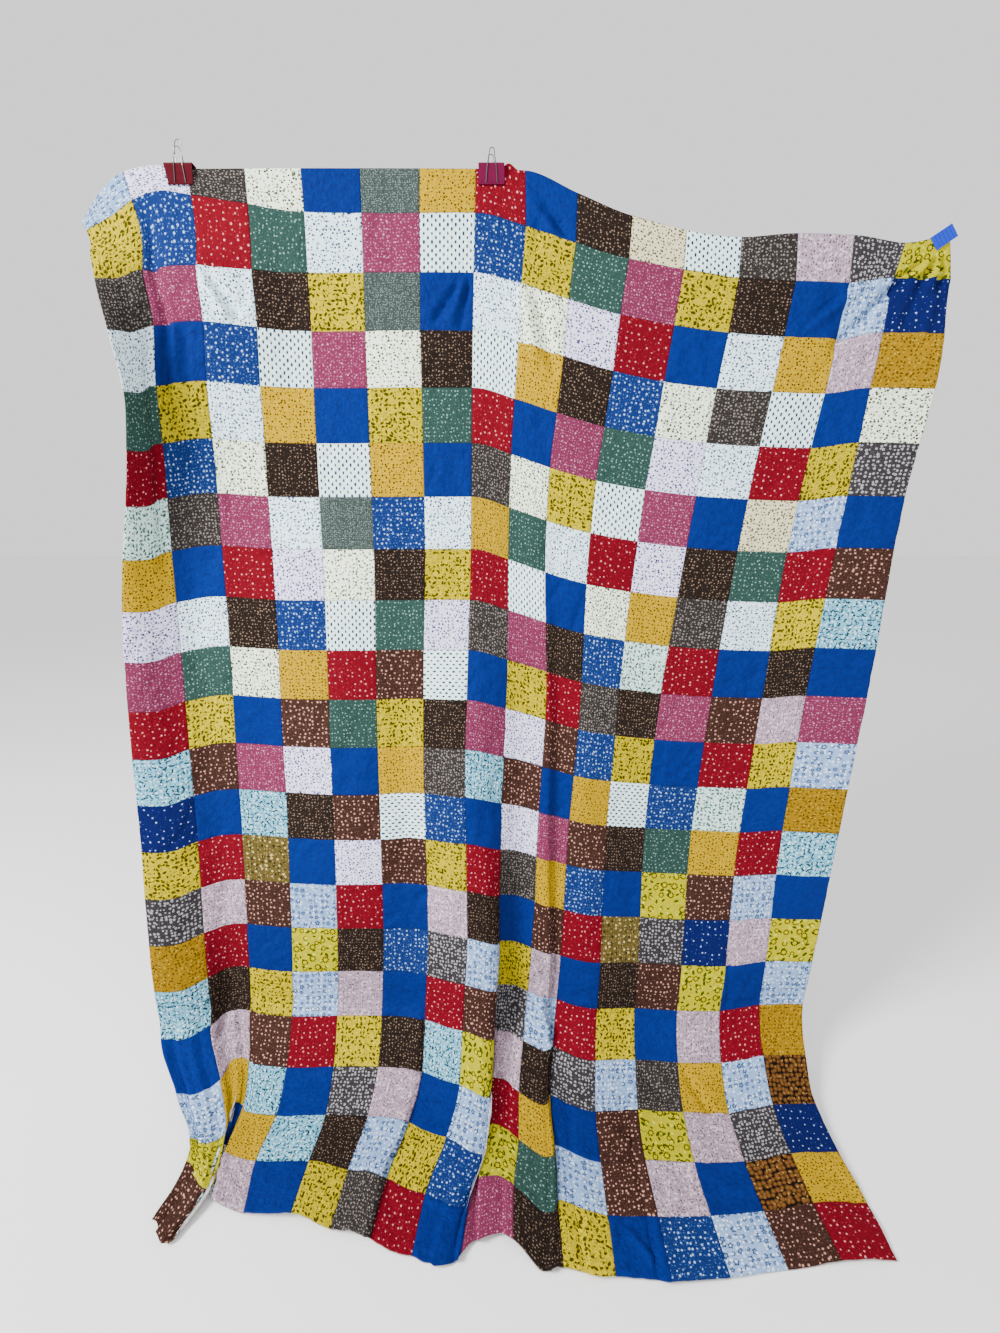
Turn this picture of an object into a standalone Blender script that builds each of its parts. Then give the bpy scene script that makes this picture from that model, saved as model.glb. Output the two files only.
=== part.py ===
"""Patchwork quilt hung by its top edge from three clips, its foot lying on the floor.

The quilt is one sheet of pieced squares. It drops from its top edge, leans out in a few
broad folds and touches down softly, so that its last rows lie on the floor. Two spring-steel
binder clips and one ribbed plastic clip hold its top edge.

Frame: origin at the middle of the hanging line, +X to the right, -Y towards the viewer, +Z up.
"""
import math

import bmesh
import bpy
from mathutils import Matrix, Vector

# ---- quilt: driving dimensions (metres) ----
SQUARE = 0.108              # side of one finished square
COLUMNS = 16
ROWS = 21
SHEET = 0.003               # thickness of the pieced cloth
HANG_HEIGHT = 1.920         # hanging line above the floor
TOUCH_DOWN = 0.115          # length over which the cloth turns onto the floor
TOUCH_HEIGHT = 1.3708 * TOUCH_DOWN   # where that turn starts: TOUCH_DOWN * Si(pi / 2)
HELD_ROWS = 0.85            # the clips keep this much of the top row plane
FREE_ROWS = 1.4             # the folds grow over this many rows below it
LEAST_DROP = 0.3            # the steepest fold still drops by this share of its length
FOOT_ROW = 17.0             # the row where the cloth reaches the floor
ACROSS_STEPS = 40
DOWN_STEPS = 54
STEP_SHARES = (0.0, 0.3, 0.72, 1.0)          # shares of the steps across
STEP_PLACES = (0.0, 6.4, 10.6, 16.0)         # and the places they reach: closest at the pleats
FINE_STEPS = 8              # steps in each row when a column is followed down

# The top edge: squares from the left, place, height of the edge, height of the first seam,
# and the share of its length that the cloth takes up in small creases below it.
TOP_EDGE_COLUMNS = ("across", "x", "edge", "seam", "slack")
TOP_EDGE = (
    (0.0, -0.802, 1.828, 1.770, 0.014),
    (0.5, -0.764, 1.877, 1.790, 0.004),
    (1.0, -0.712, 1.915, 1.826, -0.004),
    (1.5, -0.650, 1.926, 1.838, -0.005),
    (2.0, -0.589, 1.920, 1.842, -0.005),
    (4.0, -0.369, 1.921, 1.842, 0.000),
    (7.0, -0.030, 1.920, 1.843, 0.000),
    (8.0, 0.066, 1.917, 1.820, 0.001),
    (9.0, 0.168, 1.878, 1.790, 0.005),
    (10.0, 0.276, 1.838, 1.762, 0.010),
    (12.0, 0.492, 1.800, 1.728, 0.018),
    (13.0, 0.602, 1.807, 1.721, 0.018),
    (14.0, 0.713, 1.804, 1.718, 0.018),
    (15.0, 0.815, 1.790, 1.727, 0.018),
    (16.0, 0.901, 1.806, 1.724, 0.018),
)

# Sections across the cloth: rows down, then the place of ten seams.
SECTION_SEAMS = (0.0, 1.0, 2.0, 4.0, 7.0, 9.0, 12.0, 14.0, 15.0, 16.0)
SECTIONS = (
    (1.0, -0.778, -0.690, -0.582, -0.366, -0.032, 0.166, 0.492, 0.712, 0.800, 0.912),
    (2.0, -0.736, -0.672, -0.573, -0.364, -0.035, 0.153, 0.474, 0.694, 0.782, 0.903),
    (3.0, -0.702, -0.652, -0.561, -0.362, -0.038, 0.144, 0.456, 0.676, 0.764, 0.892),
    (4.0, -0.688, -0.659, -0.566, -0.362, -0.040, 0.132, 0.441, 0.657, 0.750, 0.872),
    (5.0, -0.704, -0.665, -0.569, -0.362, -0.042, 0.120, 0.426, 0.640, 0.735, 0.850),
    (7.0, -0.750, -0.678, -0.576, -0.360, -0.045, 0.112, 0.398, 0.613, 0.706, 0.826),
    (9.0, -0.770, -0.674, -0.573, -0.359, -0.052, 0.114, 0.372, 0.596, 0.684, 0.811),
    (12.0, -0.778, -0.670, -0.573, -0.357, -0.060, 0.098, 0.350, 0.568, 0.660, 0.784),
    (15.0, -0.766, -0.665, -0.572, -0.359, -0.057, 0.084, 0.338, 0.543, 0.638, 0.748),
    (17.0, -0.744, -0.658, -0.572, -0.364, -0.069, 0.066, 0.320, 0.516, 0.614, 0.713),
    (18.0, -0.676, -0.606, -0.552, -0.356, -0.072, 0.055, 0.308, 0.503, 0.600, 0.694),
    (19.0, -0.606, -0.556, -0.532, -0.350, -0.092, 0.053, 0.302, 0.500, 0.597, 0.694),
    (20.0, -0.598, -0.540, -0.534, -0.358, -0.124, 0.042, 0.303, 0.502, 0.598, 0.700),
    (21.0, -0.614, -0.560, -0.526, -0.362, -0.136, 0.039, 0.302, 0.506, 0.602, 0.698),
)

# Folds: squares from the left at the head and at the foot, half width in squares, and how
# far each stands out at rows 3, 7, 12 and 17.
FOLD_ROWS = (0.0, 3.0, 7.0, 12.0, 17.0)
FOLD_COLUMNS = ("name", "head", "foot", "half_width", "out")
FOLDS = (
    ("lean of the whole sheet", 8.0, 8.0, 99.0, (0.013, 0.004, 0.012, 0.058)),
    ("left edge", -0.4, 0.0, 1.7, (0.122, 0.080, 0.058, 0.076)),
    ("left panel", 1.6, 1.2, 2.6, (0.040, -0.004, 0.004, -0.020)),
    ("left ripple", 4.4, 4.4, 2.2, (-0.008, 0.006, 0.028, -0.010)),
    ("shoulder below the middle clip", 7.0, 7.2, 1.8, (-0.008, 0.003, 0.052, 0.054)),
    ("swag fold", 8.8, 10.8, 1.9, (0.006, 0.010, 0.012, 0.036)),
    ("right panel", 12.8, 13.2, 2.6, (0.000, 0.009, -0.008, 0.020)),
    ("right edge", 16.0, 16.0, 2.4, (0.011, 0.040, 0.020, -0.012)),
)

# Three pleats whose left crest stands over a valley: row and place of the head and of the foot
# in rows down and squares across, and the depth from crest to valley.
PLEAT_COLUMNS = ("head_row", "head", "foot_row", "foot", "depth")
PLEATS = (
    (11.5, 8.0, 19.0, 8.1, 0.044),
    (2.5, 8.8, 19.5, 10.0, 0.036),
    (14.5, 1.25, 19.5, 1.25, 0.038),
)
PLEAT_STATIONS = (-1.1, -0.28, 0.14, 1.0)    # squares from the middle of the pleat
PLEAT_SHAPE = (0.0, 0.6, -0.4, 0.0)          # shares of its depth
PLEAT_OVERHANG = 0.6                         # how far its crest leans over, by its depth
PLEAT_FADE_ROWS = 2.0                        # rows below its foot over which it fades
PLEAT_RISE = 0.3                             # height of a lying pleat, by its depth

# The lying hem: squares from the left, how far it reaches beyond an even hem, and its lift.
HEM_COLUMNS = ("across", "reach", "lift")
HEM = (
    (0.0, -0.006, 0.000),
    (1.0, 0.000, 0.000),
    (2.0, -0.030, 0.004),
    (3.0, -0.018, 0.000),
    (4.1, -0.006, 0.008),
    (5.0, 0.014, 0.000),
    (6.1, 0.020, 0.006),
    (7.0, 0.008, 0.000),
    (8.2, 0.000, 0.002),
    (9.0, -0.014, 0.012),
    (9.7, 0.008, 0.002),
    (11.0, -0.010, 0.000),
    (12.0, 0.005, 0.000),
    (14.0, -0.018, 0.000),
    (16.0, -0.012, 0.000),
)
HEM_START_ROW = 18.5

# The left edge is tucked under itself just before it reaches the floor.
TUCK_ROW = 19.4
TUCK_DEPTH = 0.072
TUCK_RIDGE = 0.016
TUCK_ROWS = 1.2             # rows over which it turns under
TUCK_WIDTH = 1.0            # squares from the left edge over which it fades

# ---- binder clips ----
PLATE = 0.0010              # steel of the body
CLIP_HEIGHT = 0.036
CLIP_DEPTH = 0.022          # across the spine
CLIP_TOP = 1.927            # height of the spine's upper face
JAW_GAP = 0.0003            # clearance between a jaw and the cloth
ROLL_RADIUS = 0.0019        # middle line of the gutter that holds the wire's feet
ROLL_STEPS = 8
SPINE_ROUND = 0.0025
SPINE_STEPS = 4
WIRE_RADIUS = 0.0009
WIRE_SIDES = 8
FOOT_REACH = 0.019          # half the span of the wire's feet in the gutter
ARM_BASE = 0.0105           # half the distance between the arms at the gutter
ARM_BEND = 0.8              # share of that distance left where the arms bend over the spine
ARM_TOP = 0.7               # and level with the spine
BEND_BELOW = 0.0065         # height of that bend below the spine
HEAD_STEPS = 8

# Each binder clip: where it stands, its width at the spine and at the mouth, the sideways
# lean of its two handles, the radius of their heads and how far they rise above the spine.
CLIP_COLUMNS = ("name", "x", "spine", "mouth", "lean_front", "lean_back", "head", "rise")
BINDER_CLIPS = (
    ("clip_left", -0.602, 0.055, 0.047, 0.10, -0.16, 0.0062, 0.038),
    ("clip_middle", 0.000, 0.050, 0.050, 0.03, -0.02, 0.0044, 0.024),
)

# ---- ribbed corner clip ----
CORNER_LENGTH = 0.046       # from mouth to back
CORNER_WIDTH = 0.027
CORNER_THICK = 0.013
CORNER_SLOT = 0.041         # depth of the slot that takes the cloth
CORNER_LEAD = 0.0020        # length of the slot's chamfered mouth
CORNER_LIP = 0.0012         # thickness of its lips at the mouth
NOSE_DROP = 0.0022          # how much thinner the clip is at its first rib
CORNER_X = 0.888            # centre of the clip
CORNER_HEIGHT = 1.799
CORNER_ANGLE = math.radians(33.5)   # the back end points up and to the right
RIBS = 6
RIB_DEPTH = 0.0010

QUILT_COLOUR = (0.46, 0.40, 0.38, 1.0)
LEFT_CLIP_COLOUR = (0.19, 0.004, 0.018, 1.0)
MIDDLE_CLIP_COLOUR = (0.26, 0.018, 0.065, 1.0)
CORNER_CLIP_COLOUR = (0.07, 0.13, 0.72, 1.0)
WIRE_COLOUR = (0.62, 0.61, 0.60, 1.0)


def place(x: float, out: float, height: float) -> Vector:
    """Return the frame's point for a place across, a distance out and a height above the floor."""
    return Vector((x, -out, height - HANG_HEIGHT))


def ease(value: float) -> float:
    """Return a smooth step from 0 to 1."""
    value = min(1.0, max(0.0, value))
    return value * value * (3.0 - 2.0 * value)


def bell(value: float) -> float:
    """Return a smooth bump: 1 at zero, 0 from one on."""
    return 0.5 + 0.5 * math.cos(math.pi * value) if abs(value) < 1.0 else 0.0


def through(stations: tuple, values: tuple, at: float) -> float:
    """Return the value at a station on a smooth curve that never overshoots its rows."""
    last = len(stations) - 1
    left = 0
    while left < last - 1 and at > stations[left + 1]:
        left += 1

    def slope(index: int) -> float:
        if index in (0, last):
            near = 0 if index == 0 else last - 1
            return (values[near + 1] - values[near]) / (stations[near + 1] - stations[near])
        before = stations[index] - stations[index - 1]
        after = stations[index + 1] - stations[index]
        rise_before = (values[index] - values[index - 1]) / before
        rise_after = (values[index + 1] - values[index]) / after
        if rise_before * rise_after <= 0.0:
            return 0.0
        weight = (2.0 * after + before) / rise_before + (after + 2.0 * before) / rise_after
        return 3.0 * (before + after) / weight

    span = stations[left + 1] - stations[left]
    part = min(1.0, max(0.0, (at - stations[left]) / span))
    square, cube = part * part, part ** 3
    return ((2 * cube - 3 * square + 1) * values[left]
            + (cube - 2 * square + part) * span * slope(left)
            + (3 * square - 2 * cube) * values[left + 1]
            + (cube - square) * span * slope(left + 1))


def top_edge(across: float, column: str) -> float:
    """Return one column of the top-edge table at a place across the cloth."""
    index = TOP_EDGE_COLUMNS.index(column)
    return through(tuple(row[0] for row in TOP_EDGE), tuple(row[index] for row in TOP_EDGE), across)


def place_across(across: float, down: float) -> float:
    """Return x for a point of the cloth, in squares across and rows down."""
    rows = tuple(row[0] for row in SECTIONS)
    seams = tuple(through(rows, tuple(row[index + 1] for row in SECTIONS), max(1.0, down))
                  for index in range(len(SECTION_SEAMS)))
    below = through(SECTION_SEAMS, seams, across)
    if down >= 1.0:
        return below
    edge = top_edge(across, "x")
    return edge + (below - edge) * down


def stand_out(across: float, down: float) -> float:
    """Return how far a point of the hanging cloth stands out from the hanging line."""
    along = min(1.0, down / FOOT_ROW)
    total = 0.0
    for _name, head, foot, half_width, out in FOLDS:
        ridge = head + (foot - head) * along
        total += fold_height(out, down) * bell((across - ridge) / half_width)
    held = HELD_ROWS * ease(across / 1.2)
    return total * ease((down - held) / FREE_ROWS) + pleat(across, down)[0]


def fold_height(out: tuple, down: float) -> float:
    """Return how far a fold stands out at a row, eased between its four given rows."""
    heights = (0.0,) + out
    if down >= FOLD_ROWS[-1]:
        return heights[-1]
    index = 0
    while down > FOLD_ROWS[index + 1]:
        index += 1
    part = ease((down - FOLD_ROWS[index]) / (FOLD_ROWS[index + 1] - FOLD_ROWS[index]))
    return heights[index] + (heights[index + 1] - heights[index]) * part


def pleat(across: float, down: float) -> tuple[float, float]:
    """Return how far the pleats move a point of the cloth outwards and to the right."""
    out, aside = 0.0, 0.0
    for head_row, head, foot_row, foot, depth in PLEATS:
        along = min(1.0, max(0.0, (down - head_row) / (foot_row - head_row)))
        off = across - head - (foot - head) * along
        if PLEAT_STATIONS[0] < off < PLEAT_STATIONS[-1]:
            grown = along * ease(2.0 * along) * (1.0 - ease((down - foot_row) / PLEAT_FADE_ROWS))
            move = depth * grown * through(PLEAT_STATIONS, PLEAT_SHAPE, off)
            out += move
            aside += PLEAT_OVERHANG * move
    return out, aside


def hem(across: float, down: float) -> tuple[float, float]:
    """Return how far the lying cloth reaches beyond an even hem, and how far it is lifted."""
    grown = ease((down - HEM_START_ROW) / (ROWS - HEM_START_ROW))
    places = tuple(row[0] for row in HEM)
    reach = through(places, tuple(row[1] for row in HEM), across)
    return grown * reach, grown * through(places, tuple(row[2] for row in HEM), across)


def tuck(across: float, down: float) -> tuple[float, float]:
    """Return how far the foot of the left edge is drawn back, and the height of its ridge."""
    share = 1.0 - ease(across / TUCK_WIDTH)
    turned = (down - TUCK_ROW) / TUCK_ROWS
    return TUCK_DEPTH * share * ease(turned + 0.5), TUCK_RIDGE * share * bell(turned)


def follow_down(across: float) -> list[tuple[float, float]]:
    """Follow one line of the cloth from its top edge to its hem.

    Returns:
        The distance out and the height, for each fine step of each row.
    """
    edge, seam = top_edge(across, "edge"), top_edge(across, "seam")
    pitch = SQUARE * (1.0 - top_edge(across, "slack")) / FINE_STEPS
    out, height = stand_out(across, 0.0), edge
    line = [(out, height)]
    lying = None
    for step in range(1, ROWS * FINE_STEPS + 1):
        down = step / FINE_STEPS
        if lying is None:
            next_out = stand_out(across, down)
            drop = math.sqrt(max(pitch ** 2 - (next_out - out) ** 2, (LEAST_DROP * pitch) ** 2))
            next_height = edge + (seam - edge) * down if down <= 1.0 else height - drop
            if next_height > TOUCH_HEIGHT:
                out, height = next_out, next_height
            else:
                lying = 0.0
        if lying is not None:
            pace = SQUARE / FINE_STEPS
            heading = 0.5 * math.pi * (1.0 - math.exp(-(lying + 0.5 * pace) / TOUCH_DOWN))
            out += pace * math.sin(heading)
            height -= pace * math.cos(heading)
            lying += pace
        line.append((out, max(height, 0.5 * SHEET)))
    return line


def cloth_point(line: list, across: float, down: float) -> Vector:
    """Return the cloth's point on a followed line, in squares across and rows down."""
    step = min(down * FINE_STEPS, len(line) - 1.001)
    index = int(step)
    part = step - index
    out = line[index][0] + (line[index + 1][0] - line[index][0]) * part
    height = line[index][1] + (line[index + 1][1] - line[index][1]) * part
    back, ridge = tuck(across, down)
    reach, lift = hem(across, down)
    fold_out, aside = pleat(across, down)
    lying = 1.0 - ease(height / TOUCH_HEIGHT)
    return place(place_across(across, down) + aside, out + fold_out * lying + reach - back,
                 height + lift + ridge + PLEAT_RISE * abs(fold_out) * lying)


def material(name: str, colour: tuple, roughness: float, metallic: float = 0.0) -> bpy.types.Material:
    """Return a plain Principled material."""
    made = bpy.data.materials.new(name)
    made.use_nodes = True
    shader = made.node_tree.nodes["Principled BSDF"]
    shader.inputs["Base Color"].default_value = colour
    shader.inputs["Roughness"].default_value = roughness
    shader.inputs["Metallic"].default_value = metallic
    return made


def finish(name: str, bm: bmesh.types.BMesh, finish_material: bpy.types.Material,
           smooth_angle: float = 40.0) -> bpy.types.Object:
    """Turn a bmesh into a named object with its material, shaded smooth."""
    mesh = bpy.data.meshes.new(name)
    bm.to_mesh(mesh)
    bm.free()
    mesh.materials.append(finish_material)
    mesh.shade_smooth()
    mesh.set_sharp_from_angle(angle=math.radians(smooth_angle))
    made = bpy.data.objects.new(name, mesh)
    bpy.context.collection.objects.link(made)
    return made


def make_quilt() -> None:
    """Drape a grid of the whole cloth and give it its thickness."""
    bm = bmesh.new()
    bmesh.ops.create_grid(bm, x_segments=ACROSS_STEPS, y_segments=DOWN_STEPS, size=0.5)
    lines = {}
    for vertex in bm.verts:
        across = through(STEP_SHARES, STEP_PLACES, vertex.co.x + 0.5)
        down = (0.5 - vertex.co.y) * ROWS
        key = round(across, 4)
        if key not in lines:
            lines[key] = follow_down(across)
        vertex.co = cloth_point(lines[key], across, down)
    bmesh.ops.recalc_face_normals(bm, faces=bm.faces)
    quilt = finish("quilt", bm, material("pieced cotton", QUILT_COLOUR, 0.9), 60.0)
    body = quilt.modifiers.new("thickness", "SOLIDIFY")
    body.thickness = SHEET
    body.offset = 0.0


def arc(centre: tuple, radius: float, start: float, end: float, steps: int) -> list[tuple]:
    """Return points on an arc from one angle to another, in degrees."""
    angles = (math.radians(start + (end - start) * step / steps) for step in range(steps + 1))
    return [(centre[0] + radius * math.cos(angle), centre[1] + radius * math.sin(angle))
            for angle in angles]


def clip_side() -> list[tuple]:
    """Return the middle line of a binder clip's front half: gutter, plate, half of the spine.

    Each point is (out, height above the mouth).
    """
    mouth = 0.5 * SHEET + JAW_GAP + 0.5 * PLATE
    shoulder = 0.5 * CLIP_DEPTH - SPINE_ROUND
    top = CLIP_HEIGHT - 0.5 * PLATE
    gutter = arc((mouth + ROLL_RADIUS, ROLL_RADIUS + 0.5 * PLATE), ROLL_RADIUS, 0.0, -180.0, ROLL_STEPS)
    corner = arc((shoulder, top - SPINE_ROUND), SPINE_ROUND, -15.0, 90.0, SPINE_STEPS)
    return gutter + corner


def make_clip_body(name: str, x: float, widths: tuple[float, float],
                   finish_material: bpy.types.Material) -> None:
    """Extrude the folded steel of a binder clip and cut its ends to their widths.

    Args:
        name: Name of the body.
        x: Its middle.
        widths: Its width at the spine and at the mouth.
        finish_material: Its enamel.
    """
    side = clip_side()
    outline = side + [(-out, height) for out, height in reversed(side)]
    mouth_height = CLIP_TOP - CLIP_HEIGHT
    bm = bmesh.new()
    points = [bm.verts.new(place(x, out, mouth_height + height)) for out, height in outline]
    edges = [bm.edges.new(pair) for pair in zip(points, points[1:])]
    swept = bmesh.ops.extrude_edge_only(bm, edges=edges)["geom"]
    moved = [item for item in swept if isinstance(item, bmesh.types.BMVert)]
    spine, mouth = widths
    bmesh.ops.translate(bm, verts=moved, vec=Vector((spine, 0.0, 0.0)))
    for vertex in bm.verts:
        risen = (vertex.co.z + HANG_HEIGHT - mouth_height) / CLIP_HEIGHT
        half_width = 0.5 * (mouth + (spine - mouth) * risen)
        vertex.co.x = x + math.copysign(half_width, vertex.co.x - x - 0.5 * spine)
    bmesh.ops.recalc_face_normals(bm, faces=bm.faces)
    body = finish(name, bm, finish_material)
    wall = body.modifiers.new("steel", "SOLIDIFY")
    wall.thickness = PLATE
    wall.offset = 0.0
    wall.use_even_offset = True


def handle_points(x: float, side: float, lean: float, radius: float, rise: float) -> list[Vector]:
    """Return the route of a wire handle: foot, arm, round head, arm, foot.

    Args:
        x: Middle of its clip.
        side: 1 for the front handle, -1 for the back one.
        lean: How far it leans to the right for its height.
        radius: Radius of its head.
        rise: Height of its head above the spine.
    """
    mouth_height = CLIP_TOP - CLIP_HEIGHT
    gutter_out = 0.5 * SHEET + JAW_GAP + 0.5 * PLATE + ROLL_RADIUS
    gutter_height = mouth_height + ROLL_RADIUS + 0.5 * PLATE
    clear = 0.5 * PLATE + WIRE_RADIUS + JAW_GAP
    shoulder_out = 0.5 * CLIP_DEPTH + clear
    head_height = CLIP_TOP + rise - radius

    def at(across: float, out: float, height: float) -> Vector:
        shift = lean * max(0.0, height - CLIP_TOP + 0.5 * CLIP_HEIGHT)
        return place(x + across + shift, side * out, height)

    half = ((FOOT_REACH, gutter_out, gutter_height),
            (ARM_BASE + 2.0 * WIRE_RADIUS, gutter_out, gutter_height),
            (ARM_BASE + 0.4 * WIRE_RADIUS, gutter_out + 0.0003, gutter_height + WIRE_RADIUS),
            (ARM_BASE, gutter_out + 0.0010, gutter_height + 3.4 * WIRE_RADIUS),
            (ARM_BEND * ARM_BASE, shoulder_out - 0.0006, CLIP_TOP - BEND_BELOW),
            (ARM_TOP * ARM_BASE, shoulder_out + 0.0002, CLIP_TOP))
    head = arc((0.0, head_height), radius, 0.0, 180.0, HEAD_STEPS)
    route = [at(across, out, height) for across, out, height in half]
    route += [at(across, shoulder_out, height) for across, height in head]
    route += [at(-across, out, height) for across, out, height in reversed(half)]
    return route


def make_handle(name: str, route: list[Vector], finish_material: bpy.types.Material) -> None:
    """Bend a round wire along its route."""
    curve = bpy.data.curves.new(name, "CURVE")
    curve.dimensions = "3D"
    curve.bevel_depth = WIRE_RADIUS
    curve.bevel_resolution = (WIRE_SIDES - 4) // 2
    curve.use_fill_caps = True
    spline = curve.splines.new("POLY")
    spline.points.add(len(route) - 1)
    for point, spot in zip(spline.points, route):
        point.co = (*spot, 1.0)
    curve.materials.append(finish_material)
    bpy.context.collection.objects.link(bpy.data.objects.new(name, curve))


def make_binder_clips() -> None:
    """Make both steel clips, each with a folded body and two wire handles."""
    wire = material("nickelled wire", WIRE_COLOUR, 0.3, 1.0)
    colours = {"clip_left": LEFT_CLIP_COLOUR, "clip_middle": MIDDLE_CLIP_COLOUR}
    for name, x, spine, mouth, lean_front, lean_back, radius, rise in BINDER_CLIPS:
        enamel = material(name + " enamel", colours[name], 0.35)
        make_clip_body(name + "_body", x, (spine, mouth), enamel)
        for side, lean, face in ((1.0, lean_front, "front"), (-1.0, lean_back, "back")):
            route = handle_points(x, side, lean, radius, rise)
            make_handle(name + "_handle_" + face, route, wire)


def corner_outline() -> list[tuple]:
    """Return the corner clip's side: a U with ribs on both faces, as (along, out) from the mouth."""
    half_slot = 0.5 * SHEET + JAW_GAP
    half_thick = 0.5 * CORNER_THICK
    pitch = CORNER_LENGTH / RIBS
    upper = [(0.0, half_slot + CORNER_LIP)]
    for rib in range(RIBS):
        start = rib * pitch
        lip = half_thick - (NOSE_DROP if rib == 0 else 0.0)
        upper += [(start + 0.10 * pitch, lip - RIB_DEPTH), (start + 0.30 * pitch, lip),
                  (start + 0.75 * pitch, half_thick), (start + 0.95 * pitch, half_thick - RIB_DEPTH)]
    lower = [(along, -out) for along, out in reversed(upper)]
    slot = [(CORNER_SLOT, -half_slot), (CORNER_SLOT, half_slot)]
    return upper + lower + [(CORNER_LEAD, -half_slot)] + slot + [(CORNER_LEAD, half_slot)]


def make_corner_clip() -> None:
    """Extrude the corner clip's side across its width and turn it to the corner."""
    bm = bmesh.new()
    points = [bm.verts.new(Vector((along - 0.5 * CORNER_LENGTH, -out, -0.5 * CORNER_WIDTH)))
              for along, out in corner_outline()]
    side = bm.faces.new(points)
    swept = bmesh.ops.extrude_face_region(bm, geom=[side])["geom"]
    moved = [item for item in swept if isinstance(item, bmesh.types.BMVert)]
    bmesh.ops.translate(bm, verts=moved, vec=Vector((0.0, 0.0, CORNER_WIDTH)))
    bmesh.ops.rotate(bm, verts=bm.verts, cent=Vector(),
                     matrix=Matrix.Rotation(-CORNER_ANGLE, 3, "Y"))
    bmesh.ops.translate(bm, verts=bm.verts, vec=place(CORNER_X, 0.0, CORNER_HEIGHT))
    bmesh.ops.recalc_face_normals(bm, faces=bm.faces)
    finish("clip_corner", bm, material("blue plastic", CORNER_CLIP_COLOUR, 0.4), 30.0)


def main() -> None:
    """Clear the scene and build the quilt and its clips."""
    for old in list(bpy.data.objects):
        bpy.data.objects.remove(old)
    make_quilt()
    make_binder_clips()
    make_corner_clip()


main()
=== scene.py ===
"""Looks of a patchwork quilt that hangs from three clips, with its foot on the floor.

The quilt top is sewn from square patches of printed and plain cotton. Every column of
patches is one strip of cloth, laid on the folds of its solid, with the sewing lines, the
puckers beside them and the main creases modelled, and the prints worked out in its materials.
The two folded-steel clips and the ribbed plastic clip keep their solids and get a finish.

Frame: origin at the middle of the hanging line, +X to the right, -Y to the viewer, +Z up.
"""
from __future__ import annotations

import logging
import math
from dataclasses import dataclass
from enum import Enum

import bmesh
import bpy
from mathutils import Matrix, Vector, noise

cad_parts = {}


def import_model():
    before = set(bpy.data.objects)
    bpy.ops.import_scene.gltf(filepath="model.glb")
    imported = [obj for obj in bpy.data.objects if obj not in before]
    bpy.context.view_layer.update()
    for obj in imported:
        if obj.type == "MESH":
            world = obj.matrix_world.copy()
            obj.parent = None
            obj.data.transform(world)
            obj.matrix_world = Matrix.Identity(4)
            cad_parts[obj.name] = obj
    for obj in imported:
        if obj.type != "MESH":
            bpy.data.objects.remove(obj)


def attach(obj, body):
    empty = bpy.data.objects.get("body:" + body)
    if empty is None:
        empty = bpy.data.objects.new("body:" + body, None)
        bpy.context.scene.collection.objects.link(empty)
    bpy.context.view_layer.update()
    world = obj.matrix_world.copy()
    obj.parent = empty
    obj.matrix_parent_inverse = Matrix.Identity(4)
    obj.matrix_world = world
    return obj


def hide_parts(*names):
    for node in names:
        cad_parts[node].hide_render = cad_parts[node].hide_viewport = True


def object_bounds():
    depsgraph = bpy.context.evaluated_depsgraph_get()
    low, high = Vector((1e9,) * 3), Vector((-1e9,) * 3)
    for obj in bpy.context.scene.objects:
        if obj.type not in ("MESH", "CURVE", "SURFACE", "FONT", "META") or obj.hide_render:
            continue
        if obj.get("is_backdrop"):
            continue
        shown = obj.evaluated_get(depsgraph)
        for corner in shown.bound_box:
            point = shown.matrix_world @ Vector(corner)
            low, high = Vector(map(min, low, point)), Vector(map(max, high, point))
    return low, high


LOG = logging.getLogger("quilt")

Row = tuple[float, ...]
Node = bpy.types.Node
Socket = bpy.types.NodeSocket


# ---------------------------------------------------------------- small helpers

def ease(value: float) -> float:
    """Return a smooth step from 0 to 1."""
    value = min(1.0, max(0.0, value))
    return value * value * (3.0 - 2.0 * value)


def bell(value: float) -> float:
    """Return a smooth bump: 1 at zero, 0 from one on."""
    return 0.5 + 0.5 * math.cos(math.pi * value) if abs(value) < 1.0 else 0.0


def ripple(across: float, down: float, layer: float) -> float:
    """Return smooth noise around zero; each layer has its own."""
    return noise.noise(Vector((across, down, layer)))


def off_seam(across: float, down: float) -> float:
    """Return how far a place lies from the nearest seam, in squares."""
    return min(abs(across - round(across)), abs(down - round(down)))


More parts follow.
